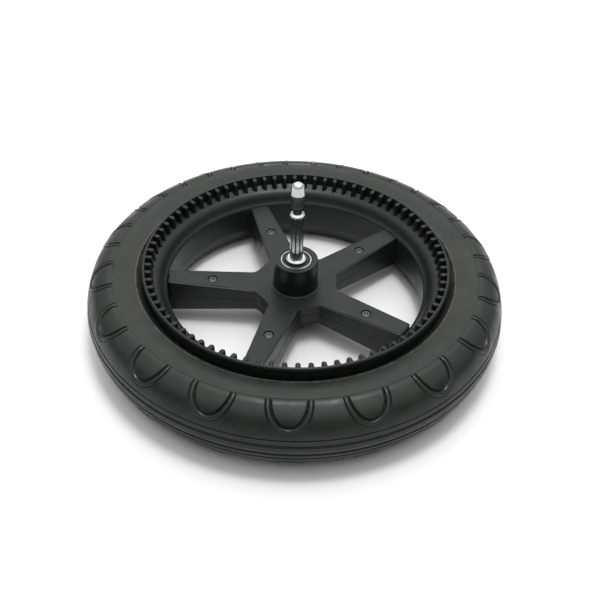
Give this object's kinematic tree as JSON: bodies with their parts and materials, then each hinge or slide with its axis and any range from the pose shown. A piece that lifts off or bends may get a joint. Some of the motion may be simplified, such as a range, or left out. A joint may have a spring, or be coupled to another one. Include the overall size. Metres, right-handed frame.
{
  "type": "stroller wheel",
  "caption": "Solid-tyred stroller or trolley wheel with a spoked rim, an inner ring of brake teeth, ball bearings and a quick-release axle.",
  "frame": {"origin": "on the wheel's axis, at the surface that the wheel lies on, outer side down", "axes": "+Z along the axle, from the hub cap to the axle's free tip. X and Y lie in the wheel's plane, and the wheel spins about +Z."},
  "size_m": [0.295, 0.295, 0.115],
  "materials": {
    "tyre_foam": "satin",
    "rim_plastic": "satin",
    "cap_plastic": "satin",
    "screw_steel": "satin",
    "chrome": "polished",
    "bearing_steel": "ground",
    "seal_rubber": "matte",
    "cage_steel": "pressed"
  },
  "bodies": {
    "axle_set": {"axle": "chrome", "axle_collar": "chrome", "axle_washer": "bearing_steel", "axle_clip": "bearing_steel", "bearing_spacer": "bearing_steel", "brake_side_bearing_inner_ring": "bearing_steel", "outer_side_bearing_inner_ring": "bearing_steel"},
    "wheel": {"tyre": "tyre_foam", "rim": "rim_plastic", "star_cover": "rim_plastic", "cover_screw_1": "screw_steel", "cover_screw_2": "screw_steel", "cover_screw_3": "screw_steel", "cover_screw_4": "screw_steel", "cover_screw_5": "screw_steel", "hub_cap": "cap_plastic", "brake_side_bearing_outer_ring": "bearing_steel", "brake_side_bearing_upper_seal": "seal_rubber", "brake_side_bearing_lower_seal": "seal_rubber", "outer_side_bearing_outer_ring": "bearing_steel", "outer_side_bearing_upper_seal": "seal_rubber", "outer_side_bearing_lower_seal": "seal_rubber"},
    "brake_side_ball_set": {"brake_side_bearing_cage": "cage_steel", "brake_side_bearing_ball_1": "bearing_steel", "brake_side_bearing_ball_2": "bearing_steel", "brake_side_bearing_ball_3": "bearing_steel", "brake_side_bearing_ball_4": "bearing_steel", "brake_side_bearing_ball_5": "bearing_steel", "brake_side_bearing_ball_6": "bearing_steel", "brake_side_bearing_ball_7": "bearing_steel"},
    "outer_side_ball_set": {"outer_side_bearing_cage": "cage_steel", "outer_side_bearing_ball_1": "bearing_steel", "outer_side_bearing_ball_2": "bearing_steel", "outer_side_bearing_ball_3": "bearing_steel", "outer_side_bearing_ball_4": "bearing_steel", "outer_side_bearing_ball_5": "bearing_steel", "outer_side_bearing_ball_6": "bearing_steel", "outer_side_bearing_ball_7": "bearing_steel"}
  },
  "joints": [
    {"name": "wheel_spin", "type": "hinge", "parent": "axle_set", "child": "wheel", "pos_m": [0, 0, 0.025], "axis": [0, 0, 1], "continuous": true},
    {"name": "brake_side_balls_spin", "type": "hinge", "parent": "axle_set", "child": "brake_side_ball_set", "pos_m": [0, 0, 0.04853], "axis": [0, 0, 1], "continuous": true},
    {"name": "outer_side_balls_spin", "type": "hinge", "parent": "axle_set", "child": "outer_side_ball_set", "pos_m": [0, 0, 0.01087], "axis": [0, 0, 1], "continuous": true}
  ],
  "couplings": [
    {"joint": "brake_side_balls_spin", "follows": "wheel_spin", "ratio": 0.625},
    {"joint": "outer_side_balls_spin", "follows": "wheel_spin", "ratio": 0.625}
  ]
}
